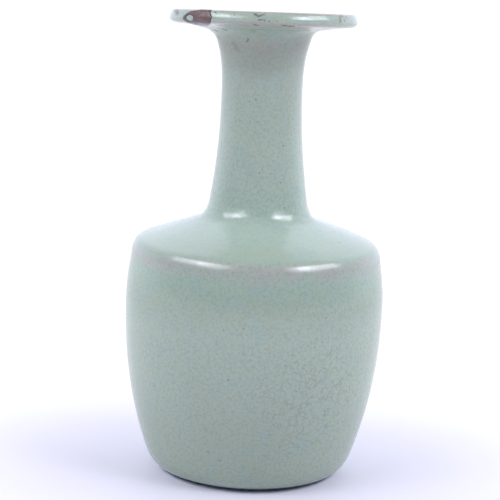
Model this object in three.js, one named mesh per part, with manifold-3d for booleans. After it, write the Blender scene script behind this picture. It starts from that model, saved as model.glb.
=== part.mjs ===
// A celadon mallet bottle: a disc-mouthed stoneware bottle thrown in five sections, luted together
// and covered by one glaze coat. Nothing on it moves.
// Millimetres, +Z up. The origin is the centre of the plane that the foot ring stands on.
import * as THREE from 'three';
import { mergeVertices } from 'three/addons/utils/BufferGeometryUtils.js';
import Module from 'manifold-3d';

// Driving dimensions of the outside
const HEIGHT = 180;
const RIM_R = 36;
const LIP_BASE_Z = 175;
const NECK_R = 15.6;
const NECK_WAIST_Z = 150;
const SHOULDER_R = 48.9;
const SHOULDER_Z = 84.5;
const BELLY_R = 50.5;
const BELLY_Z = 68;
const GLAZE_EDGE_R = 33.8;
const GLAZE_EDGE_Z = 1.1;

// Driving dimensions of the inside
const BORE_R = 11.2;
const THROAT_Z = 170;
const CAVITY_R = 45.1;
const FLOOR_Z = 8.2;
const FLOOR_R = 27.5;

// The foot: an unglazed ring round a shallow recess
const FOOT_OUTER_R = 32.9;
const FOOT_INNER_R = 28.4;
const FOOT_BEVEL = 0.6;
const RECESS_R = 26.6;
const RECESS_DEPTH = 3;
const FOOT_GLAZE_R = 25.8;

// Glaze thickness, the clearance between touching layers, and the joints between the clay sections
const GLAZE = 0.8;
const GAP = 0.3;
const BASE_JOINT_Z = 13;
const SHOULDER_JOINT_Z = 83;
const NECK_JOINT_Z = 107;
const MOUTH_JOINT_Z = 167;

// The old fill in a chip on the lip: an ellipsoid, half-sizes across, along and up, that bites into
// the lip's outer face. Only the part of it that lies in the mouth disc, past its root, is fill.
const CHIP_ANGLE = THREE.MathUtils.degToRad(-135);
const CHIP_R = RIM_R + 0.5;
const CHIP_Z = HEIGHT - 2.4;
const CHIP_SIZE = new THREE.Vector3(2.3, 8.6, 3.9);
const DISC_ROOT_R = 18;
const DISC_ROOT_Z = 172;

// Facets round the bottle, facets of the chip, and a curve's handles as a share of its chord
const SEGMENTS = 32;
const CHIP_SEGMENTS = 24;
const CHIP_RINGS = 16;
const HANDLE = 0.36;
const MERGE_DISTANCE = 1e-4;

// Outlines are rows of radius, height, heading in degrees (0 outward, 90 up) and steps to the next
// row. The outside climbs from the edge of the glaze to the lip, and the inside falls from there.
const OUTSIDE = [
  [GLAZE_EDGE_R, GLAZE_EDGE_Z, 6, 4],
  [41.9, 10.8, 72, 6],
  [BELLY_R, BELLY_Z, 90, 2],
  [SHOULDER_R, SHOULDER_Z, 99, 2],
  [48.1, 88, 113, 3],
  [45.4, 91.5, 160, 2],
  [24.8, 99.5, 157, 2],
  [21, 102.1, 120, 2],
  [19.2, 106.2, 100, 6],
  [NECK_R, NECK_WAIST_Z, 90, 3],
  [18.4, 170.2, 70, 2],
  [20.2, 172.4, 38, 2],
  [24.8, 173.8, 14, 2],
  [RIM_R - 2.2, LIP_BASE_Z, 8, 3],
  [RIM_R, LIP_BASE_Z + 2, 98, 2],
  [RIM_R - 0.8, HEIGHT - 0.8, 118, 3],
  [RIM_R - 2.3, HEIGHT, 180, 1],
];
const INSIDE = [
  [RIM_R - 2.3, HEIGHT, 180, 1],
  [RIM_R - 2.8, HEIGHT, 180, 2],
  [RIM_R - 4.1, HEIGHT - 1.2, 246, 2],
  [RIM_R - 6, HEIGHT - 2, 192, 1],
  [16.5, HEIGHT - 4.2, 192, 3],
  [BORE_R, THROAT_Z, 268, 2],
  [BORE_R, 122, 271, 2],
  [13.2, 104.5, 285, 3],
  [21.5, 95.3, 338, 2],
  [40, 88.1, 339, 3],
  [44, 83, 281, 1],
  [CAVITY_R, BELLY_Z, 270, 4],
  [38, 17, 251, 3],
  [FLOOR_R, FLOOR_Z, 180, 1],
  [0, FLOOR_Z, 180, 0],
];

const heading = (degrees) => {
  const angle = THREE.MathUtils.degToRad(degrees);
  return new THREE.Vector2(Math.cos(angle), Math.sin(angle));
};

// The points of an outline moved into the wall by depth. Each pair of rows is joined by a cubic
// curve that leaves and arrives along their headings.
function outlinePoints(rows, depth) {
  const points = [];
  rows.slice(0, -1).forEach(([radius, height, angle, steps], i) => {
    const [nextRadius, nextHeight, nextAngle] = rows[i + 1];
    const start = new THREE.Vector2(radius, height);
    const end = new THREE.Vector2(nextRadius, nextHeight);
    const reach = HANDLE * start.distanceTo(end);
    const leave = start.clone().addScaledVector(heading(angle), reach);
    const arrive = end.clone().addScaledVector(heading(nextAngle), -reach);
    const curve = new THREE.CubicBezierCurve(start, leave, arrive, end);
    for (let step = i === 0 ? 0 : 1; step <= steps; step += 1) {
      const t = step / steps;
      const along = curve.getTangent(t);
      const inward = new THREE.Vector2(-along.y, along.x);
      points.push(curve.getPoint(t).addScaledVector(inward, depth));
    }
  });
  return points;
}

// The stretch of a rising or falling outline between two heights, with its ends cut level.
function between(points, low, high) {
  const kept = [];
  points.forEach((point, i) => {
    const last = points[i - 1];
    const cuts = last ? [low, high].filter((z) => (last.y - z) * (point.y - z) < 0) : [];
    cuts.sort((a, b) => Math.abs(a - last.y) - Math.abs(b - last.y));
    cuts.forEach((z) => kept.push(last.clone().lerp(point, (z - last.y) / (point.y - last.y))));
    if (point.y >= low && point.y <= high) kept.push(point);
  });
  return kept;
}

// A solid turned about Z from a profile that starts and ends on the axis, or from a closed ring.
function turned(profile) {
  const onAxis = profile[0].x === 0;
  const points = onAxis ? profile : [...profile, profile[0]];
  return new THREE.LatheGeometry(points, SEGMENTS).rotateX(Math.PI / 2);
}

const wasm = await Module();
wasm.setup();

function solidOf(geometry) {
  const bare = geometry.clone();
  bare.deleteAttribute('normal');
  bare.deleteAttribute('uv');
  const merged = mergeVertices(bare, MERGE_DISTANCE);
  const vertProperties = new Float32Array(merged.attributes.position.array);
  const triVerts = new Uint32Array(merged.index.array);
  return new wasm.Manifold(new wasm.Mesh({ numProp: 3, vertProperties, triVerts }));
}

function geometryOf(solid) {
  const { vertProperties, triVerts } = solid.getMesh();
  const geometry = new THREE.BufferGeometry();
  geometry.setAttribute('position', new THREE.BufferAttribute(vertProperties, 3));
  geometry.setIndex(new THREE.BufferAttribute(triVerts, 1));
  geometry.computeVertexNormals();
  return geometry;
}

// The chip, or with a clearance the fill that sits in it.
function chipSolid(clearance) {
  const ball = new THREE.SphereGeometry(1, CHIP_SEGMENTS, CHIP_RINGS);
  ball.scale(CHIP_SIZE.x - clearance, CHIP_SIZE.y - clearance, CHIP_SIZE.z - clearance);
  ball.translate(CHIP_R, 0, 0);
  ball.rotateZ(CHIP_ANGLE);
  ball.translate(0, 0, CHIP_Z);
  return solidOf(ball);
}

const glazeFace = [...outlinePoints(OUTSIDE, 0), ...outlinePoints(INSIDE, 0).slice(1)];
const clayOutside = outlinePoints(OUTSIDE, GLAZE + GAP);
const clayInside = outlinePoints(INSIDE, GLAZE + GAP);

// One clay section of the wall, between two joints or up to the lip.
function claySection(low, high) {
  return [...between(clayOutside, low, high), ...between(clayInside, low, high)];
}

// The base: the foot ring, the recess under it and the floor, up to the first joint.
function footProfile() {
  const underside = [
    [0, RECESS_DEPTH + GLAZE + GAP],
    [RECESS_R, RECESS_DEPTH + GLAZE + GAP],
    [FOOT_INNER_R, 0],
    [FOOT_OUTER_R - FOOT_BEVEL, 0],
    [FOOT_OUTER_R, FOOT_BEVEL],
    [FOOT_OUTER_R, clayOutside[0].y],
  ].map(([radius, height]) => new THREE.Vector2(radius, height));
  const top = BASE_JOINT_Z - GAP / 2;
  return [...underside, ...between(clayOutside, 0, top), ...between(clayInside, 0, top)];
}

// The glaze runs up the outside, over the lip and down over the inner floor.
function glazeProfile() {
  const under = [...outlinePoints(OUTSIDE, GLAZE), ...outlinePoints(INSIDE, GLAZE).slice(1)];
  return [...glazeFace, ...under.reverse()];
}

// The patch of glaze in the recess, whose edge leans outward.
function footGlazeProfile() {
  return [
    [0, RECESS_DEPTH],
    [FOOT_GLAZE_R - GLAZE, RECESS_DEPTH],
    [FOOT_GLAZE_R, RECESS_DEPTH + GLAZE],
    [0, RECESS_DEPTH + GLAZE],
  ].map(([radius, height]) => new THREE.Vector2(radius, height));
}

const clay = new THREE.MeshStandardMaterial({ color: 0xa89a8c, roughness: 0.85, metalness: 0 });
const burntClay = new THREE.MeshStandardMaterial({ color: 0x5a4a44, roughness: 0.8, metalness: 0 });
const celadon = new THREE.MeshStandardMaterial({ color: 0xa4bcb2, roughness: 0.25, metalness: 0 });
const lacquer = new THREE.MeshStandardMaterial({ color: 0x74544c, roughness: 0.5, metalness: 0 });

const bottle = new THREE.Group();

function addPart(name, geometry, material) {
  const mesh = new THREE.Mesh(geometry, material);
  mesh.name = name;
  bottle.add(mesh);
}

const half = GAP / 2;
const chip = chipSolid(0);
const discFace = between(glazeFace, DISC_ROOT_Z, HEIGHT).filter((point) => point.x > DISC_ROOT_R);
const mouthDisc = solidOf(turned(discFace));
const mouthClay = solidOf(turned(claySection(MOUTH_JOINT_Z + half, HEIGHT)));
const glazeCoat = solidOf(turned(glazeProfile()));

addPart('foot_section', turned(footProfile()), burntClay);
addPart('belly_section', turned(claySection(BASE_JOINT_Z + half, SHOULDER_JOINT_Z - half)), clay);
addPart('shoulder_section', turned(claySection(SHOULDER_JOINT_Z + half, NECK_JOINT_Z - half)), clay);
addPart('neck_section', turned(claySection(NECK_JOINT_Z + half, MOUTH_JOINT_Z - half)), clay);
addPart('mouth_section', geometryOf(mouthClay.subtract(chip)), clay);
addPart('glaze_coat', geometryOf(glazeCoat.subtract(chip)), celadon);
addPart('foot_glaze', turned(footGlazeProfile()), celadon);
addPart('rim_repair', geometryOf(mouthDisc.intersect(chipSolid(GAP))), lacquer);

export default bottle;
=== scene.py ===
"""A celadon mallet bottle: stoneware sections under one glaze coat, with an old fill in the lip.

Outlines and azimuths are in millimetres and degrees, and meshes in metres. Azimuth is measured
round the bottle from the front (-Y), positive towards +X.
"""

import math

import bpy
import numpy as np
from mathutils import Matrix, Vector


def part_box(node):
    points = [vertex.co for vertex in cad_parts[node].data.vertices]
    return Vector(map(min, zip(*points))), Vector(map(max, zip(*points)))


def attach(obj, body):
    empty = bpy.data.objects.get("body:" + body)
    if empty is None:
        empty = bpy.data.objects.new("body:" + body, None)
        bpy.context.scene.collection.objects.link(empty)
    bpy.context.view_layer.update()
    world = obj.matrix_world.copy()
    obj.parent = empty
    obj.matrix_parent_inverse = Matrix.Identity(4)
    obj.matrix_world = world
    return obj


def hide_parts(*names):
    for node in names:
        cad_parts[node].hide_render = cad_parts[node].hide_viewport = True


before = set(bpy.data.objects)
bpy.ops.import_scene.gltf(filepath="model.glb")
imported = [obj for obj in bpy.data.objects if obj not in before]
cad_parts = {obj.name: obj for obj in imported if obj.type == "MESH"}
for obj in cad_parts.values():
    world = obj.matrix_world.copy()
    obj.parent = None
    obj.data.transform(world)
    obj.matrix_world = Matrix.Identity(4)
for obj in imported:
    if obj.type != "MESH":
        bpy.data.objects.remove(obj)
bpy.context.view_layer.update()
MM = 0.001

# Driving dimensions of the outside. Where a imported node's box gives a size, it is read from the box.
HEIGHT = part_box("glaze_coat")[1].z / MM
BELLY_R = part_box("glaze_coat")[1].x / MM
BELLY_Z = 68
RIM_R = 36
LIP_BASE_Z = HEIGHT - 5
LIP_EASE = 2.25

# The foot: an unglazed ring round a shallow recess that holds a patch of glaze
FOOT_OUTER_R = 32.9
FOOT_INNER_R = 28.4
FOOT_BEVEL = 0.6
RECESS_R = 26.6
RECESS_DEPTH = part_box("foot_glaze")[0].z / MM
FOOT_GLAZE_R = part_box("foot_glaze")[1].x / MM

# Glaze thickness, the clearance between touching layers, and the joints between the clay sections
GLAZE = 0.8
GAP = 0.3
BASE_JOINT_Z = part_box("foot_section")[1].z / MM + GAP / 2
SHOULDER_JOINT_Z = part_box("belly_section")[1].z / MM + GAP / 2
NECK_JOINT_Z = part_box("shoulder_section")[1].z / MM + GAP / 2
MOUTH_JOINT_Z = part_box("neck_section")[1].z / MM + GAP / 2

# Outlines are rows of radius, height and heading (0 outward, 90 up). The outside climbs from the
# edge of the glaze to the lip, and the inside falls from there. Over the shoulder the outside is up
# to 0.8 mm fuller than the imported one.
OUTSIDE = [
    (33.8, 1.1, 6),
    (41.9, 10.8, 72),
    (BELLY_R, BELLY_Z, 90),
    (48.9, 84.5, 99),
    (48.2, 88.4, 113),
    (45.6, 91.8, 156),
    (24.8, 99.6, 160),
    (21, 102.1, 121),
    (19.8, 104.4, 104),
    (19.2, 106.2, 99),
    (15.6, 150, 90),
    (18.4, 170.2, 70),
    (20.2, 172.4, 38),
    (24.8, 173.8, 14),
    (RIM_R - LIP_EASE, LIP_BASE_Z, 8),
    (RIM_R, LIP_BASE_Z + 2, 98),
    (RIM_R - 0.8, HEIGHT - 0.8, 118),
    (RIM_R - LIP_EASE, HEIGHT, 180),
]
INSIDE = [
    (RIM_R - LIP_EASE, HEIGHT, 180),
    (RIM_R - 2.8, HEIGHT, 180),
    (RIM_R - 4.1, HEIGHT - 1.2, 246),
    (RIM_R - 6, HEIGHT - 2, 192),
    (16.5, HEIGHT - 4.2, 192),
    (11.2, 170, 268),
    (11.2, 122, 271),
    (13.2, 104.5, 285),
    (21.5, 95.3, 338),
    (40, 88.1, 339),
    (44, 83, 281),
    (45.1, BELLY_Z, 270),
    (38, 17, 251),
    (27.5, 8.2, 180),
    (0, 8.2, 180),
]

# A curve's handles as a share of its chord
HANDLE = 0.36


# ---------------------------------------------------------------- camera, lights and floor

# The camera: its place in metres, its turns in degrees and its focal length in millimetres. It looks
# down by its pitch.
CAMERA_DISTANCE = 3.2 * HEIGHT * MM
CAMERA_HEIGHT = 1.002 * HEIGHT * MM
CAMERA_PITCH = 9.17
CAMERA_YAW = 0.23
CAMERA_ROLL = 2.23
FOCAL_LENGTH = 106.9


def add_camera():
    data = bpy.data.cameras.new("camera")
    data.lens = FOCAL_LENGTH
    camera = bpy.data.objects.new("camera", data)
    yaw = Matrix.Rotation(math.radians(CAMERA_YAW), 4, "Z")
    pitch = Matrix.Rotation(math.radians(90 - CAMERA_PITCH), 4, "X")
    roll = Matrix.Rotation(math.radians(CAMERA_ROLL), 4, "Z")
    camera.matrix_world = Matrix.Translation((0, -CAMERA_DISTANCE, CAMERA_HEIGHT)) @ yaw @ pitch @ roll
    bpy.context.scene.collection.objects.link(camera)
    bpy.context.scene.camera = camera


# The colour of every soft light
SOFT_LIGHT = (0.985, 0.985, 1.1)


def add_softbox(name, azimuth, elevation, distance, width, height, radiance):
    """A soft light that faces the middle of the bottle."""
    data = bpy.data.lights.new(name, "AREA")
    data.shape = "RECTANGLE"
    data.size = width
    data.size_y = height
    data.energy = math.pi * width * height * radiance
    data.color = SOFT_LIGHT
    light = bpy.data.objects.new(name, data)
    a = math.radians(azimuth)
    e = math.radians(elevation)
    towards = Vector((math.sin(a) * math.cos(e), -math.cos(a) * math.cos(e), math.sin(e)))
    light.location = Vector((0, 0, HEIGHT * MM / 2)) + distance * towards
    light.rotation_euler = towards.to_track_quat("Z", "Y").to_euler()
    bpy.context.scene.collection.objects.link(light)


# Name, azimuth, elevation, distance, width, height and radiance of each soft light
SOFTBOXES = [
    ("panel_left", -58.5, 38, 0.8, 0.74, 0.28, 4.7),
    ("panel_right", 64, 38, 0.8, 0.62, 0.27, 6),
    ("core_left", -54, 39, 0.78, 0.2, 0.16, 6),
    ("core_right", 53, 39, 0.78, 0.15, 0.16, 9.5),
]


class Nodes:
    """Builds one node tree. Each call adds a node and returns one of its outputs."""

    def __init__(self, tree):
        self.tree = tree
        tree.nodes.clear()

    def add(self, kind, inputs, output=0, **settings):
        node = self.tree.nodes.new("ShaderNode" + kind)
        for key, value in settings.items():
            setattr(node, key, value)
        for key, value in inputs.items():
            if isinstance(value, bpy.types.NodeSocket):
                self.tree.links.new(value, node.inputs[key])
            else:
                node.inputs[key].default_value = value
        return node.outputs[output] if node.outputs else node

    def math(self, operation, *values):
        return self.add("Math", dict(enumerate(values)), operation=operation)

    def ease(self, value, low, high, start=0.0, end=1.0):
        """Eases from start to end as value goes from low to high."""
        inputs = {"Value": value, "From Min": low, "From Max": high, "To Min": start, "To Max": end}
        return self.add("MapRange", inputs, interpolation_type="SMOOTHSTEP")

    def band(self, value, low, rise, fall, high):
        """1 between rise and fall, easing to 0 at low and at high."""
        return self.math("MULTIPLY", self.ease(value, low, rise), self.ease(value, fall, high, 1.0, 0.0))

    def mix(self, factor, a, b):
        return self.add("Mix", {0: factor, 6: a, 7: b}, 2, data_type="RGBA")

    def noise(self, where, size, detail=2.0, roughness=0.5, output=0):
        """Noise about 0.5 whose features are about size millimetres across."""
        inputs = {"Vector": where, "Scale": 1 / (size * MM), "Detail": detail, "Roughness": roughness}
        return self.add("TexNoise", inputs, output)

    def mottle(self, where, size, low, high, start=0.0, end=1.0, **settings):
        """Noise of a size, eased from start to end as it goes from low to high."""
        return self.ease(self.noise(where, size, **settings), low, high, start, end)

    def warp(self, where, size, amount):
        """Places shifted by noise of a size, up to half of amount either way, both in millimetres."""
        noise = self.noise(where, size, output=1)
        shift = self.add("VectorMath", {0: noise, 1: (0.5, 0.5, 0.5)}, operation="SUBTRACT")
        reach = (amount * MM, amount * MM, amount * MM)
        return self.add("VectorMath", {0: shift, 1: reach, 2: where}, operation="MULTIPLY_ADD")

    def bumps(self, where, size, height):
        """Relief of a size and a height in millimetres."""
        return self.math("MULTIPLY", self.noise(where, size), height)

    def height(self, where):
        """Height in millimetres of places in metres."""
        return self.math("DIVIDE", self.add("SeparateXYZ", {0: where}, 2), MM)

    def distance(self, where, place):
        """Distance in millimetres from a place in metres."""
        metres = self.add("VectorMath", {0: where, 1: place}, 1, operation="DISTANCE")
        return self.math("DIVIDE", metres, MM)

    def ramp(self, value, stops):
        """The colour at a value, from stops of value and colour in rising order."""
        low, high = stops[0][0], stops[-1][0]
        share = self.add("MapRange", {"Value": value, "From Min": low, "From Max": high})
        ramp = self.tree.nodes.new("ShaderNodeValToRGB")
        self.tree.links.new(share, ramp.inputs[0])
        elements = ramp.color_ramp.elements
        elements.remove(elements[0])
        elements[0].position = 1
        elements[0].color = (*stops[-1][1], 1)
        for at, colour in stops[:-1]:
            elements.new((at - low) / (high - low)).color = (*colour, 1)
        return ramp.outputs[0]

    def surface(self, colour, roughness, relief, **settings):
        """Ends a material, from its colour, its roughness and its relief in millimetres."""
        bump = self.add("Bump", {"Height": relief, "Distance": MM})
        inputs = {"Base Color": colour, "Roughness": roughness, "Normal": bump, **settings}
        self.add("OutputMaterial", {0: self.add("BsdfPrincipled", inputs)})


def new_material(name):
    material = bpy.data.materials.new(name)
    material.use_nodes = True
    return material, Nodes(material.node_tree)


BACKDROP = (1.28, 1.32, 1.56, 1)
ROOM = (0.04, 0.04, 0.045, 1)
CEILING = (0.45, 0.42, 0.40, 1)
PAPER_WHITE = (1.05, 1.05, 1.05, 1)
# The backward share of a direction over which the room turns into the backdrop, and the upward share
# over which both turn into the ceiling
BACKDROP_EDGE = (-0.38, 0.68)
CEILING_EDGE = (0.73, 0.93)


def add_world():
    """A white backdrop behind, a dark room in front and a ceiling. The camera sees plain white."""
    world = bpy.data.worlds.new("studio")
    world.use_nodes = True
    bpy.context.scene.world = world
    n = Nodes(world.node_tree)
    direction = n.add("TexCoord", {}, 0)
    backward = n.add("SeparateXYZ", {0: direction}, 1)
    upward = n.add("SeparateXYZ", {0: direction}, 2)
    colour = n.mix(n.ease(backward, *BACKDROP_EDGE), ROOM, BACKDROP)
    colour = n.mix(n.ease(upward, *CEILING_EDGE), colour, CEILING)
    colour = n.mix(n.add("LightPath", {}), colour, PAPER_WHITE)
    n.add("OutputWorld", {0: n.add("Background", {0: colour})})


FLOOR_NEAR = (0.835, 0.825, 0.92, 1)
FLOOR_FAR_GLOW = (1.06, 1.075, 1.17, 1)
FLOOR_CENTRE = (0, -0.03, 0)
FLOOR_R = 4.0
FLOOR_ROUGHNESS = 0.6
# Distances in metres between which the floor turns into a painted glow that stands for the white
# surroundings
FLOOR_FADE = (0.06, 0.18)


def add_floor():
    """A pale floor that turns into a painted white glow, standing for the white surroundings, away from
    the bottle.
    """
    bpy.ops.mesh.primitive_circle_add(radius=FLOOR_R, vertices=96, fill_type="NGON", location=FLOOR_CENTRE)
    floor = bpy.context.object
    floor.name = "floor"
    material, n = new_material("floor")
    away = n.add("VectorMath", {0: n.add("TexCoord", {}, 3)}, 1, operation="LENGTH")
    paper = n.add("BsdfPrincipled", {"Base Color": FLOOR_NEAR, "Roughness": FLOOR_ROUGHNESS})
    # The far floor glows: painted light that stands for brightly lit paper
    glow = n.add("Emission", {0: FLOOR_FAR_GLOW})
    n.add("OutputMaterial", {0: n.add("MixShader", {0: n.ease(away, *FLOOR_FADE), 1: paper, 2: glow})})
    floor.data.materials.append(material)


# ---------------------------------------------------------------- turned shapes

def heading(degrees):
    angle = math.radians(degrees)
    return np.array([math.cos(angle), math.sin(angle)])


def outline(rows, depth, spacing):
    """Points along the rows, moved into the wall by depth, about spacing(height) apart.

    Each pair of rows is joined by a cubic curve that leaves and arrives along their headings.
    """
    points = []
    for row, following in zip(rows[:-1], rows[1:]):
        start = np.array(row[:2])
        end = np.array(following[:2])
        chord = np.linalg.norm(end - start)
        leave = start + HANDLE * chord * heading(row[2])
        arrive = end - HANDLE * chord * heading(following[2])
        count = max(2, math.ceil(chord / spacing(end[1])))
        t = np.linspace(0, 1, count + 1)[1 if points else 0:, None]
        s = 1 - t
        place = s ** 3 * start + 3 * s ** 2 * t * leave + 3 * s * t ** 2 * arrive + t ** 3 * end
        along = s ** 2 * (leave - start) + 2 * s * t * (arrive - leave) + t ** 2 * (end - arrive)
        along /= np.linalg.norm(along, axis=1)[:, None]
        inward = np.stack([-along[:, 1], along[:, 0]], axis=1)
        points.extend(place + depth * inward)
    return np.array(points)


# The axis wanders sideways as it rises: height and shift of the axis
WANDER = [
    (0, -0.15), (45, 0), (75, 0.15), (120, 0.15), (150, -0.08), (169, -0.18), (175, -0.55), (180, -0.55),
]
# The shoulder leans forward, its edge also to the right, and the mouth disc to the left. A lean is a
# rise for each millimetre to the right and to the back, and the shares say how much acts at a height.
SHOULDER_LEAN = (0, 0.0225)
SHOULDER_SHARE = [(60, 0), (84, 1), (92, 1), (106, 0)]
EDGE_LEAN = (-0.009, 0)
EDGE_SHARE = [(60, 0), (84, 1), (90, 1), (94, 0)]
DISC_LEAN = (0.005, 0)
DISC_SHARE = [(168, 0), (172.4, 5), (174, 1.5), (175, 1)]
LEANS = [(SHOULDER_LEAN, SHOULDER_SHARE), (EDGE_LEAN, EDGE_SHARE), (DISC_LEAN, DISC_SHARE)]


def table(rows, value):
    """The entry for a value in rows of value and entry, joined by straight lines."""
    values, entries = zip(*rows)
    return np.interp(value, values, entries)


def placed(radius, height, azimuth):
    """Points in metres, with the unevenness of a hand-thrown pot."""
    x = radius * np.sin(azimuth)
    y = -radius * np.cos(azimuth)
    z = height
    for lean, share in LEANS:
        z = z + table(share, height) * (lean[0] * x + lean[1] * y)
    return np.stack([x + table(WANDER, height), y, z], axis=-1) * MM


# Edges sharper than this many degrees are shaded as edges
SHARP_ANGLE = 50
# A point nearer to the axis than this is on it
AXIS_TOLERANCE = 0.001


def new_piece(name, points, faces, node, material):
    """A mesh that rides on the body, stands for the node and takes its finish from the slot."""
    mesh = bpy.data.meshes.new(name)
    mesh.from_pydata(points.tolist(), [], faces)
    mesh.validate()
    mesh.shade_smooth()
    mesh.set_sharp_from_angle(angle=math.radians(SHARP_ANGLE))
    mesh.materials.append(material)
    piece = bpy.data.objects.new(name, mesh)
    bpy.context.scene.collection.objects.link(piece)
    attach(piece, "root")
    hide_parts(node)
    return piece


def ring_faces(numbers):
    """Faces of a grid of vertex numbers that closes in both directions, without the flat ones."""
    right = np.roll(numbers, -1, axis=1)
    quads = np.stack([numbers, right, np.roll(right, -1, axis=0), np.roll(numbers, -1, axis=0)], axis=2)
    faces = [list(dict.fromkeys(quad)) for quad in quads.reshape(-1, 4).tolist()]
    return [face for face in faces if len(face) > 2]


def turned(name, profile, azimuths, node, material, relief=None):
    """A closed solid turned about Z from a closed ring of radius and height.

    Each point on the axis becomes one vertex. relief moves the points of the grid.
    """
    shape = (len(profile), len(azimuths))
    radius = np.broadcast_to(profile[:, :1], shape)
    height = np.broadcast_to(profile[:, 1:], shape)
    azimuth = np.broadcast_to(np.radians(azimuths), shape)
    if relief:
        radius, height = relief(profile, radius, height, azimuth)
    numbers = np.arange(radius.size).reshape(shape)
    on_axis = profile[:, 0] < AXIS_TOLERANCE
    numbers[on_axis] = numbers[on_axis, :1]
    used, renumbered = np.unique(numbers, return_inverse=True)
    points = placed(radius, height, azimuth).reshape(-1, 3)[used]
    return new_piece(name, points, ring_faces(renumbered.reshape(shape)), node, material)


# ---------------------------------------------------------------- the fill in the lip

# The edge of the fill on the lip unrolled flat: azimuth and level. The level is the height on the
# lip's face, carried on over its top and under its base by the distance along the surface.
FILL_EDGE = [
    (-56.4, 176.3),
    (-55.6, 177.3),
    (-53, 178.5),
    (-50, 179.3),
    (-44.6, 179.9),
    (-41, 180.8),
    (-38, 181.2),
    (-35.5, 180.8),
    (-33.2, 179.8),
    (-33.1, 178.9),
    (-31.3, 177.2),
    (-32.2, 176),
    (-33.5, 175.4),
    (-36, 174.4),
    (-37.5, 173),
    (-42, 170.5),
    (-50, 167.2),
    (-60, 166.8),
    (-67, 168.6),
    (-61, 171),
    (-57, 172.8),
    (-55.2, 174.8),
    (-55.6, 175.6),
]
# An island of glaze in the fill: azimuth, level, half-width and half-height
ISLAND = (-49.2, 176.8, 2.0, 1.1)

# The azimuths and levels that the fill keeps within, the radius where the mouth disc starts, and the
# height below which the disc's face is its underside
FILL_AZIMUTHS = (-70, -24)
FILL_LEVELS = (165, 184)
DISC_ROOT_R = 24
LIP_TURN_Z = LIP_BASE_Z + 0.5

# How deep the glaze is sunk under the fill, how proud of the glaze the fill stands, how deep its
# back lies, and how wide its edge is. Each point of the fill holds its distance in from the edge.
FILL_DEPTH = 0.5
FILL_PROUD = 0.1
FILL_BACK = 0.55
FILL_SOFTNESS = 0.35
INSET = "inset"


def unrolled(profile):
    """The levels of the points of an outline."""
    inward = np.maximum(0, RIM_R - LIP_EASE - profile[:, 0])
    return profile[:, 1] + np.where(profile[:, 1] > LIP_TURN_Z, inward, -inward)


def near_fill(profile):
    """Which points of an outline lie on the disc at a level that the fill reaches."""
    level = unrolled(profile)
    return (profile[:, 0] > DISC_ROOT_R) & (level > FILL_LEVELS[0]) & (level < FILL_LEVELS[1])


def inside_fill(azimuth, level):
    """Distance in from the fill's edge, less than 0 outside it, at azimuths in radians and levels."""
    edge = np.array([(math.radians(a) * RIM_R, z) for a, z in FILL_EDGE])
    point = np.stack([azimuth * RIM_R, level], axis=-1)
    distance = np.full(level.shape, np.inf)
    within = np.zeros(level.shape, dtype=bool)
    for start, end in zip(edge, np.roll(edge, -1, axis=0)):
        span = end - start
        share = np.clip(((point - start) @ span) / (span @ span), 0, 1)
        nearest = start + share[..., None] * span
        distance = np.minimum(distance, np.linalg.norm(point - nearest, axis=-1))
        crosses = (start[1] > point[..., 1]) != (end[1] > point[..., 1])
        crossing = start[0] + (point[..., 1] - start[1]) * span[0] / (span[1] or 1)
        within ^= crosses & (point[..., 0] < crossing)
    island_azimuth, island_level, across, up = ISLAND
    aside = point[..., 0] - math.radians(island_azimuth) * RIM_R
    shore = np.hypot(aside / across, (level - island_level) / up)
    return np.minimum(np.where(within, distance, -distance), (shore - 1) * up)


# ---------------------------------------------------------------- pieces

# Spacing of the points along an outline: on hidden faces, on the glaze, and on its mouth disc
HIDDEN_SPACING = 3.0
GLAZE_SPACING = 1.2
DISC_SPACING = 0.32
DISC_SPACING_Z = 173

# Steps of azimuth over the fill, over the rest of the glaze coat, and round the other pieces
FILL_STEP = 0.45
GLAZE_STEP = 2.4
PLAIN_STEP = 3


def hidden_spacing(height):
    return HIDDEN_SPACING


def glaze_spacing(height):
    return DISC_SPACING if height > DISC_SPACING_Z else GLAZE_SPACING


def glaze_azimuths():
    """Fine steps over the fill and wider ones over the rest of the turn."""
    start, end = FILL_AZIMUTHS
    count = round((360 + start - end) / GLAZE_STEP)
    rest = np.linspace(end, 360 + start, count, endpoint=False)
    return np.concatenate([np.arange(start, end, FILL_STEP), rest])


def glaze_layer(depth, spacing):
    """The whole glaze's outline at a depth: up the outside, over the lip and down the inside."""
    return np.vstack([outline(OUTSIDE, depth, spacing), outline(INSIDE, depth, spacing)[1:]])


def glaze_profile():
    return np.vstack([glaze_layer(0, glaze_spacing), glaze_layer(GLAZE, hidden_spacing)[::-1]])


def outward(profile):
    """Unit vectors that point out of the outline, one for each of its points."""
    along = np.roll(profile, -1, axis=0) - np.roll(profile, 1, axis=0)
    along /= np.linalg.norm(along, axis=1)[:, None]
    return np.stack([along[:, 1], -along[:, 0]], axis=1)


def glaze_relief(profile, radius, height, azimuth):
    """Sinks the face of the glaze under the fill."""
    level = np.broadcast_to(unrolled(profile)[:, None], radius.shape)
    either_way = (azimuth + math.pi) % (2 * math.pi) - math.pi
    sunk = np.clip(inside_fill(either_way, level) / FILL_SOFTNESS, 0, 1) * FILL_DEPTH
    on_face = np.arange(len(profile)) < len(glaze_layer(0, glaze_spacing))
    normal = outward(profile) * (on_face & near_fill(profile))[:, None]
    return radius - sunk * normal[:, :1], height - sunk * normal[:, 1:]


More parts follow.
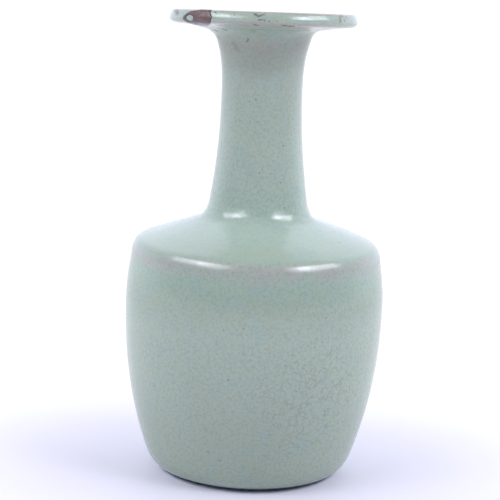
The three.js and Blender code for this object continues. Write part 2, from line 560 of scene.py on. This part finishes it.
def sheet_solid(kept):
    """Faces of a solid between two sheets of one grid, over the cells whose corners are all kept.

    The vertex numbers of the back sheet follow those of the front one.
    """
    numbers = np.arange(kept.size).reshape(kept.shape)
    cells = kept[:-1, :-1] & kept[:-1, 1:] & kept[1:, 1:] & kept[1:, :-1]
    corners = [numbers[:-1, :-1], numbers[:-1, 1:], numbers[1:, 1:], numbers[1:, :-1]]
    front = np.stack(corners, axis=2)[cells].tolist()
    back = [[v + kept.size for v in reversed(face)] for face in front]
    edges = {edge for face in front for edge in zip(face, face[1:] + face[:1])}
    wall = [[b, a, a + kept.size, b + kept.size] for a, b in sorted(edges) if (b, a) not in edges]
    return front + back + wall


def add_fill(material):
    """The fill: a sheet over the chip that dips under the glaze outside its edge."""
    face = glaze_layer(0, glaze_spacing)
    near = near_fill(face)
    profile = face[near]
    normal = outward(face)[near]
    azimuths = np.radians(np.arange(*FILL_AZIMUTHS, FILL_STEP))
    shape = (len(profile), len(azimuths))
    azimuth = np.broadcast_to(azimuths, shape)
    inset = inside_fill(azimuth, np.broadcast_to(unrolled(profile)[:, None], shape))
    rise = np.clip(inset / FILL_SOFTNESS, -1, 1)
    front = np.where(rise > 0, FILL_PROUD * rise, FILL_DEPTH * rise)
    back = np.full(shape, -FILL_BACK)
    sheets = []
    for offset in (front, back):
        radius = profile[:, :1] + offset * normal[:, :1]
        height = profile[:, 1:] + offset * normal[:, 1:]
        sheets.append(placed(radius, height, azimuth).reshape(-1, 3))
    used, renumbered = np.unique(sheet_solid(inset > -2 * FILL_SOFTNESS), return_inverse=True)
    faces = renumbered.reshape(-1, 4).tolist()
    piece = new_piece("lip_fill", np.vstack(sheets)[used], faces, "rim_repair", material)
    held = piece.data.attributes.new(INSET, "FLOAT", "POINT")
    held.data.foreach_set("value", np.tile(inset.ravel(), 2)[used].astype(np.float32))


def between(points, low, high):
    """The stretch of an outline between two heights, with its ends cut level."""
    kept = []
    for last, point in zip(np.vstack([points[:1], points[:-1]]), points):
        cuts = [z for z in (low, high) if (last[1] - z) * (point[1] - z) < 0]
        for z in sorted(cuts, key=lambda cut: abs(cut - last[1])):
            kept.append(last + (point - last) * (z - last[1]) / (point[1] - last[1]))
        if low <= point[1] <= high:
            kept.append(point)
    return np.array(kept)


def clay_section(low, high):
    """The ring of one clay section: up its outside and down its inside."""
    outside = outline(OUTSIDE, GLAZE + GAP, hidden_spacing)
    inside = outline(INSIDE, GLAZE + GAP, hidden_spacing)
    return np.vstack([between(outside, low, high), between(inside, low, high)])


# Name, replaced node, lower joint and upper joint of each clay section above the foot
CLAY_SECTIONS = [
    ("clay_belly", "belly_section", BASE_JOINT_Z, SHOULDER_JOINT_Z),
    ("clay_shoulder", "shoulder_section", SHOULDER_JOINT_Z, NECK_JOINT_Z),
    ("clay_neck", "neck_section", NECK_JOINT_Z, MOUTH_JOINT_Z),
    ("clay_mouth", "mouth_section", MOUTH_JOINT_Z, HEIGHT),
]


def foot_profile():
    """The base: the recess, the foot ring, and the floor up to the first joint."""
    clay_edge = outline(OUTSIDE, GLAZE + GAP, hidden_spacing)[0]
    underside = [
        (0, RECESS_DEPTH + GLAZE + GAP),
        (RECESS_R, RECESS_DEPTH + GLAZE + GAP),
        (FOOT_INNER_R, 0),
        (FOOT_OUTER_R - FOOT_BEVEL, 0),
        (FOOT_OUTER_R, FOOT_BEVEL),
        (FOOT_OUTER_R, clay_edge[1]),
    ]
    return np.vstack([underside, clay_section(0, BASE_JOINT_Z - GAP / 2)])


def foot_glaze_profile():
    """The patch of glaze in the recess, whose edge leans outward."""
    return np.array([
        (0, RECESS_DEPTH),
        (FOOT_GLAZE_R - GLAZE, RECESS_DEPTH),
        (FOOT_GLAZE_R, RECESS_DEPTH + GLAZE),
        (0, RECESS_DEPTH + GLAZE),
    ])


# ---------------------------------------------------------------- materials

# Colour of the glaze by height. The bright bluish row at 0 is a painted glint and painted light on the
# glaze's lower edge, where it turns under. The darker rows from 150 to 160 are painted shade under the
# mouth disc.
GLAZE_TINTS_AND_PAINTED_SHADING = [
    (0, (0.485, 0.582, 0.592)),
    (4, (0.325, 0.415, 0.355)),
    (20, (0.32, 0.40, 0.345)),
    (50, (0.335, 0.42, 0.385)),
    (62, (0.345, 0.43, 0.40)),
    (72, (0.31, 0.395, 0.355)),
    (84, (0.325, 0.44, 0.405)),
    (92, (0.33, 0.43, 0.385)),
    (98, (0.36, 0.475, 0.435)),
    (112, (0.36, 0.455, 0.435)),
    (132, (0.35, 0.43, 0.405)),
    (150, (0.31, 0.375, 0.36)),
    (160, (0.272, 0.326, 0.311)),
    (169.5, (0.364, 0.384, 0.384)),
    (171, (0.33, 0.398, 0.374)),
    (174, (0.335, 0.40, 0.375)),
    (180, (0.34, 0.445, 0.40)),
]
# The cast of all these tints together, as a factor for each channel
GLAZE_CAST = (1.079, 1.055, 0.95)
THIN_GLAZE = (0.42, 0.395, 0.38, 1)
THIN_EDGE = (0.42, 0.35, 0.31, 1)
DARK_FLECK = (0.17, 0.235, 0.205, 1)
BLUE_CLOUD = (0.30, 0.43, 0.43, 1)
CRACK_STAIN = (0.20, 0.21, 0.195, 1)
GLAZE_IOR = 1.6

# Mottles: the size in millimetres, the two noise values between which they run and, where it isn't
# 0 to 1, what they run from and to
TINT_SHIFT = (25, 0.3, 0.7, -1.2, 1.2)
CLOUDS = (6, 0.5, 0.75, 0, 0.35)
THIN_PATCHES = (7, 0.3, 0.7, 0.35, 0.75)
FLECKS = (1.1, 0.38, 0.75, 0, 0.36)
GLAZE_ROUGHNESS = (3, 0.3, 0.7, 0.17, 0.23)

# Size and height of the glaze's ripple and grain
RIPPLE = (5, 0.06)
GRAIN = (1.1, 0.01)

# Heights where the glaze is thin: along the shoulder's edge, along the base of the lip and on top of
# the lip. The glaze is plainer on the shoulder's slope. A band is where it starts, is full, starts to
# fade and ends.
RIDGE_BAND = (81.5, 87.5, 88.8, 91)
LIP_BASE_BAND = (174.2, 175, 175.6, 176.8)
LIP_TOP = (179.2, 179.7, 0, 0.75)
SLOPE_BAND = (88, 93, 98, 106)
SLOPE_FLECKS = 0.5
# Distances to the side, in metres, between which the thin glaze at the base of the lip gives out
LIP_BASE_SIDES = (0.020, 0.030)

# The crackle: size of its cells, size and reach of their warp, and its lines as shares of a cell. It
# is plainest in a patch round an azimuth and a height, and fades with the distance from there. Over
# the rest it comes and goes, with a strength that falls between two heights, and it is broken.
CRACKLE_CELL = 2.9
CRACKLE_WARP = (2.2, 2.6)
CRACK_WIDTH = (0.015, 0.11)
CRACKLE_CENTRE = (30, 40)
CRACKLE_PATCH = (12, 32, 0.36, 0)
CRACKLE_REGIONS = (16, 0.42, 0.62)
CRACKLE_FADE = (60, 75, 0.15, 0.05)
CRACKLE_BREAKS = (2.5, 0.35, 0.6)

# Specks: the size of the grid's cells, their radius as a share of it, the draws that choose which
# cells have one, and their strength
SPECK_CELL = 4
SPECK_RADIUS = (0.03, 0.085)
SPECK_CHOICE = (0.7, 0.75)
SPECK_STRENGTH = 0.5

# Marks that the firing and use left on the glaze. For each colour and strength: the azimuth, height,
# half-length, half-width and tilt of each mark.
MARKS = [
    ((0.10, 0.05, 0.04, 1), 0.65, [
        (-4.4, 178.8, 1.2, 0.4, -20), (-2.4, 178.4, 0.9, 0.3, 25), (-0.2, 178.9, 0.8, 0.3, 0),
        (-1.8, 177.0, 1.1, 0.3, 5), (0.6, 176.8, 0.5, 0.3, 0), (3.2, 176.7, 0.5, 0.25, 0),
        (-4.4, 175.2, 1.3, 0.35, -10), (12.9, 175.3, 1.2, 0.3, 0), (17.2, 175.1, 1.7, 0.35, -5),
        (-19.8, 169.0, 1.0, 0.25, 35), (-18.8, 169.6, 0.3, 0.5, 0),
    ]),
    ((0.20, 0.14, 0.11, 1), 0.55, [
        (52.3, 178.1, 0.9, 1.8, -15), (56.6, 177.8, 0.6, 0.7, 0), (54.6, 179.2, 1.8, 0.4, 0),
        (60.2, 178.9, 0.5, 0.6, 0), (7.9, 176.8, 0.7, 0.25, 0), (-8.1, 147.2, 0.5, 0.4, 0),
        (-16.5, 146.3, 0.4, 0.3, 0), (-4.1, 138.9, 0.5, 0.25, 0), (-3.8, 66.9, 0.45, 0.4, 0),
        (-12.3, 65.8, 0.4, 0.35, 0),
    ]),
    ((0.10, 0.085, 0.10, 1), 0.85, [
        (-66.5, 178.8, 2.8, 1.1, -15), (-71.5, 179.3, 3.0, 0.6, 5), (-29.8, 179.1, 0.6, 0.35, -30),
        (-43.0, 173.1, 1.5, 0.6, -10), (-47.2, 173.4, 1.8, 0.35, -10),
        (-66.0, 174.0, 1.9, 0.7, -15), (-64.0, 173.5, 1.9, 0.8, -15), (-62.0, 173.0, 1.9, 0.8, -20),
        (-70.0, 170.3, 1.4, 0.7, -40),
    ]),
    ((0.13, 0.16, 0.14, 1), 0.6, [
        (72.1, 97.4, 0.4, 0.25, 0), (57.9, 95.2, 0.5, 0.25, -20), (27.4, 116.2, 0.35, 0.3, 0),
        (31.5, 106.8, 0.35, 0.3, 0), (32.5, 130.1, 0.4, 0.35, 0), (0.0, 119.8, 0.35, 0.3, 0),
        (-9.6, 47.0, 0.4, 0.35, 0), (-13.9, 14.0, 0.5, 0.4, 0), (-19.8, 17.2, 0.4, 0.35, 0),
        (30.5, 61.4, 0.4, 0.35, 0), (31.8, 70.6, 0.35, 0.35, 0), (-17.4, 178.5, 0.35, 0.3, 0),
    ]),
    ((0.22, 0.26, 0.23, 1), 0.4, [
        (-40.0, 168.0, 1.4, 0.8, 30), (-37.4, 166.6, 1.6, 0.9, 60), (-34.0, 165.6, 1.0, 1.2, 0),
        (-10.0, 172.9, 1.6, 1.0, 10), (32.0, 172.8, 2.2, 0.8, 0),
    ]),
]
# How deep a mark reaches, size and reach of the raggedness of its edge, and the shares of its size
# over which it fades
MARK_DEPTH = 2.4
MARK_RAGGEDNESS = (0.8, 0.5)
MARK_FADE = (0.5, 1.3, 1, 0)


def on_glaze(azimuth, height):
    """A place on the outside of the glaze, in metres."""
    face = outline(OUTSIDE, 0, glaze_spacing)
    radius = np.interp(height, face[:, 1], face[:, 0])
    return Vector(placed(radius, height, math.radians(azimuth)))


def marks_mask(n, where, marks):
    """1 on the marks and 0 away from them."""
    nearest = None
    for azimuth, height, length, width, tilt in marks:
        turn = (0, -math.radians(tilt), math.radians(azimuth))
        size = (length * MM, MARK_DEPTH * MM, width * MM)
        inputs = {0: where, 1: on_glaze(azimuth, height), 2: turn, 3: size}
        local = n.add("Mapping", inputs, vector_type="TEXTURE")
        distance = n.add("VectorMath", {0: local}, 1, operation="LENGTH")
        nearest = distance if nearest is None else n.math("MINIMUM", nearest, distance)
    return n.ease(nearest, *MARK_FADE)


def crackle_mask(n, where, height):
    """Stained crackle: plain in one patch low on the right, and faint over the rest of the belly."""
    cells = {"Vector": n.warp(where, *CRACKLE_WARP), "Scale": 1 / (CRACKLE_CELL * MM)}
    crack = n.ease(n.add("TexVoronoi", cells, feature="DISTANCE_TO_EDGE"), *CRACK_WIDTH, 1, 0)
    crack = n.math("MULTIPLY", crack, n.mottle(where, *CRACKLE_BREAKS))
    patch = n.ease(n.distance(where, on_glaze(*CRACKLE_CENTRE)), *CRACKLE_PATCH)
    rest = n.math("MULTIPLY", n.mottle(where, *CRACKLE_REGIONS), n.ease(height, *CRACKLE_FADE))
    return n.math("MULTIPLY", crack, n.math("MAXIMUM", patch, rest))


def specks_mask(n, where):
    """Small iron specks, one in some cells of an uneven grid."""
    cells = {"Vector": where, "Scale": 1 / (SPECK_CELL * MM)}
    speck = n.ease(n.add("TexVoronoi", cells), *SPECK_RADIUS, 1, 0)
    chosen = n.ease(n.add("SeparateXYZ", {0: n.add("TexVoronoi", cells, 1)}), *SPECK_CHOICE)
    return n.math("MULTIPLY", n.math("MULTIPLY", speck, chosen), SPECK_STRENGTH)


def along_shoulder(n, where, height):
    """Height without the lean of the shoulder's edge."""
    tilt = (-EDGE_LEAN[0] / MM, -SHOULDER_LEAN[1] / MM, 0)
    return n.math("ADD", height, n.add("VectorMath", {0: where, 1: tilt}, 1, operation="DOT_PRODUCT"))


def glaze_colour(n, where, height):
    """Cloudy tints by height, which hold painted shade under the mouth disc and a painted glint on the
    glaze's lower edge, thin and pinkish over the sharp edges, with fine flecks.
    """
    uneven = n.math("ADD", height, n.mottle(where, *TINT_SHIFT))
    # The tints by height hold painted shade from 150 to 160 under the mouth disc and a painted glint at
    # the glaze's lower edge
    tints = [(level, np.multiply(tint, GLAZE_CAST)) for level, tint in GLAZE_TINTS_AND_PAINTED_SHADING]
    colour = n.mix(n.mottle(where, *CLOUDS), n.ramp(uneven, tints), BLUE_CLOUD)
    ridge = n.band(along_shoulder(n, where, uneven), *RIDGE_BAND)
    colour = n.mix(n.math("MULTIPLY", ridge, n.mottle(where, *THIN_PATCHES)), colour, THIN_GLAZE)
    aside = n.math("ABSOLUTE", n.add("SeparateXYZ", {0: where}, 0))
    middle = n.ease(aside, *LIP_BASE_SIDES, 1, 0)
    colour = n.mix(n.math("MULTIPLY", n.band(height, *LIP_BASE_BAND), middle), colour, THIN_GLAZE)
    colour = n.mix(n.ease(height, *LIP_TOP), colour, THIN_EDGE)
    flecks = n.mottle(where, *FLECKS, detail=3.0, roughness=0.7)
    plainer = n.ease(n.band(height, *SLOPE_BAND), 0, 1, 1, SLOPE_FLECKS)
    return n.mix(n.math("MULTIPLY", flecks, plainer), colour, DARK_FLECK)


def celadon_material():
    """Celadon glaze with stained crackle, iron specks and the marks of firing and use."""
    material, n = new_material("celadon")
    where = n.add("TexCoord", {}, 3)
    height = n.height(where)
    colour = glaze_colour(n, where, height)
    colour = n.mix(crackle_mask(n, where, height), colour, CRACK_STAIN)
    colour = n.mix(specks_mask(n, where), colour, DARK_FLECK)
    ragged = n.warp(where, *MARK_RAGGEDNESS)
    for mark_colour, strength, marks in MARKS:
        mask = n.math("MULTIPLY", marks_mask(n, ragged, marks), strength)
        colour = n.mix(mask, colour, mark_colour)
    relief = n.math("ADD", n.bumps(where, *RIPPLE), n.bumps(where, *GRAIN))
    n.surface(colour, n.mottle(where, *GLAZE_ROUGHNESS), relief, IOR=GLAZE_IOR)
    return material


FILL_BROWN = (0.155, 0.085, 0.07, 1)
FILL_DARK = (0.095, 0.06, 0.055, 1)
FILL_PALE = (0.27, 0.185, 0.165, 1)
FILL_UNDERSIDE_SHADE = (0.12, 0.10, 0.15, 1)
FILL_EDGE_DARK = (0.06, 0.045, 0.065, 1)

# The fill's mottles, like those of the glaze, and size and height of its bumps
FILL_TONES = (1.6, 0.35, 0.65)
FILL_STREAKS = (2.2, 0.52, 0.75, 0, 0.6)
EDGE_PATCHES = (4, 0.35, 0.6, 0.4, 1)
FILL_ROUGHNESS = (1.5, 0.3, 0.7, 0.28, 0.45)
FILL_BUMPS = (1.2, 0.08)

# The turn and the squash that make streaks, the heights over which the painted grey shade low on the fill,
# where it turns under the lip, fades and its strength, and the distances in from the edge over which the
# dark fades and its strength
STREAK_TURN = (0, 0.5, 0)
STREAK_SQUASH = (1, 1, 3)
UNDERSIDE_SHADE_FADE = (174.8, 177.6, 0.75, 0)
EDGE_FADE = (0, 1, 0.9, 0)


def fill_material():
    """Old lacquer: streaky brown, with painted grey shade low down where it turns under the lip, and dark
    where it thins out at its edge.
    """
    material, n = new_material("rim_fill")
    where = n.add("TexCoord", {}, 3)
    colour = n.mix(n.mottle(where, *FILL_TONES, detail=3.0), FILL_DARK, FILL_BROWN)
    streaked = n.add("Mapping", {0: where, 2: STREAK_TURN, 3: STREAK_SQUASH})
    colour = n.mix(n.mottle(streaked, *FILL_STREAKS), colour, FILL_PALE)
    # Painted lavender-grey shade low on the fill, where it turns under the lip
    colour = n.mix(n.ease(n.height(where), *UNDERSIDE_SHADE_FADE), colour, FILL_UNDERSIDE_SHADE)
    edge = n.ease(n.add("Attribute", {}, 2, attribute_name=INSET), *EDGE_FADE)
    edge = n.math("MULTIPLY", edge, n.mottle(where, *EDGE_PATCHES))
    colour = n.mix(edge, colour, FILL_EDGE_DARK)
    n.surface(colour, n.mottle(where, *FILL_ROUGHNESS), n.bumps(where, *FILL_BUMPS))
    return material


CLAY_LIGHT = (0.62, 0.57, 0.52, 1)
CLAY_DARK = (0.50, 0.45, 0.40, 1)
CLAY_ROUGHNESS = 0.85
BURNT_LIGHT = (0.11, 0.06, 0.04, 1)
BURNT_DARK = (0.05, 0.035, 0.03, 1)
BURNT_ROUGHNESS = 0.8

# The clay's mottle, the size of its grit, the noise over which grit darkens it and how much, and the
# height of the grit
CLAY_TONES = (9, 0.35, 0.65)
GRIT_SIZE = 0.7
GRIT_SHADE = (0.5, 0.7, 0, 0.5)
GRIT_HEIGHT = 0.25
# A bluish edge on the foot, partly thin glaze and partly painted light in the shaded gap under the glaze's
# edge, and how far in from there it starts and is gone
FOOT_EDGE_GLAZE_AND_LIGHT = (0.36, 0.45, 0.56, 1)
EDGE_GLAZE_AND_LIGHT_WIDTH = (0.2, 1.2)


def clay_material(name, light, dark, roughness, edge_glaze_and_light=None):
    """Gritty stoneware between two colours, with an optional bluish outer edge on the foot that is partly
    thin glaze and partly painted light.
    """
    material, n = new_material(name)
    where = n.add("TexCoord", {}, 3)
    grit = n.noise(where, GRIT_SIZE, detail=4.0, roughness=0.7)
    colour = n.mix(n.mottle(where, *CLAY_TONES, detail=3.0), dark, light)
    colour = n.mix(n.ease(grit, *GRIT_SHADE), colour, dark)
    if edge_glaze_and_light:
        level = n.add("VectorMath", {0: where, 1: (1, 1, 0)}, operation="MULTIPLY")
        radius = n.distance(level, (0, 0, 0))
        outer = n.ease(radius, FOOT_OUTER_R - EDGE_GLAZE_AND_LIGHT_WIDTH[1], FOOT_OUTER_R - EDGE_GLAZE_AND_LIGHT_WIDTH[0])
        # The bluish edge is partly thin glaze and partly painted light in the shaded gap under the glaze
        colour = n.mix(outer, colour, edge_glaze_and_light)
    n.surface(colour, roughness, n.math("MULTIPLY", grit, GRIT_HEIGHT))
    return material


# ---------------------------------------------------------------- the scene

add_camera()
add_world()
add_floor()
for softbox in SOFTBOXES:
    add_softbox(*softbox)

celadon = celadon_material()
clay = clay_material("clay", CLAY_LIGHT, CLAY_DARK, CLAY_ROUGHNESS)
foot_clay = clay_material("foot_clay", BURNT_LIGHT, BURNT_DARK, BURNT_ROUGHNESS, FOOT_EDGE_GLAZE_AND_LIGHT)
even = np.arange(0, 360, PLAIN_STEP)

turned("bottle_glaze", glaze_profile(), glaze_azimuths(), "glaze_coat", celadon, glaze_relief)
add_fill(fill_material())
turned("foot_ring", foot_profile(), even, "foot_section", foot_clay)
for name, node, low, high in CLAY_SECTIONS:
    turned(name, clay_section(low + GAP / 2, high - GAP / 2), even, node, clay)
turned("recess_glaze", foot_glaze_profile(), even, "foot_glaze", celadon)

bpy.context.scene.view_settings.view_transform = "Standard"
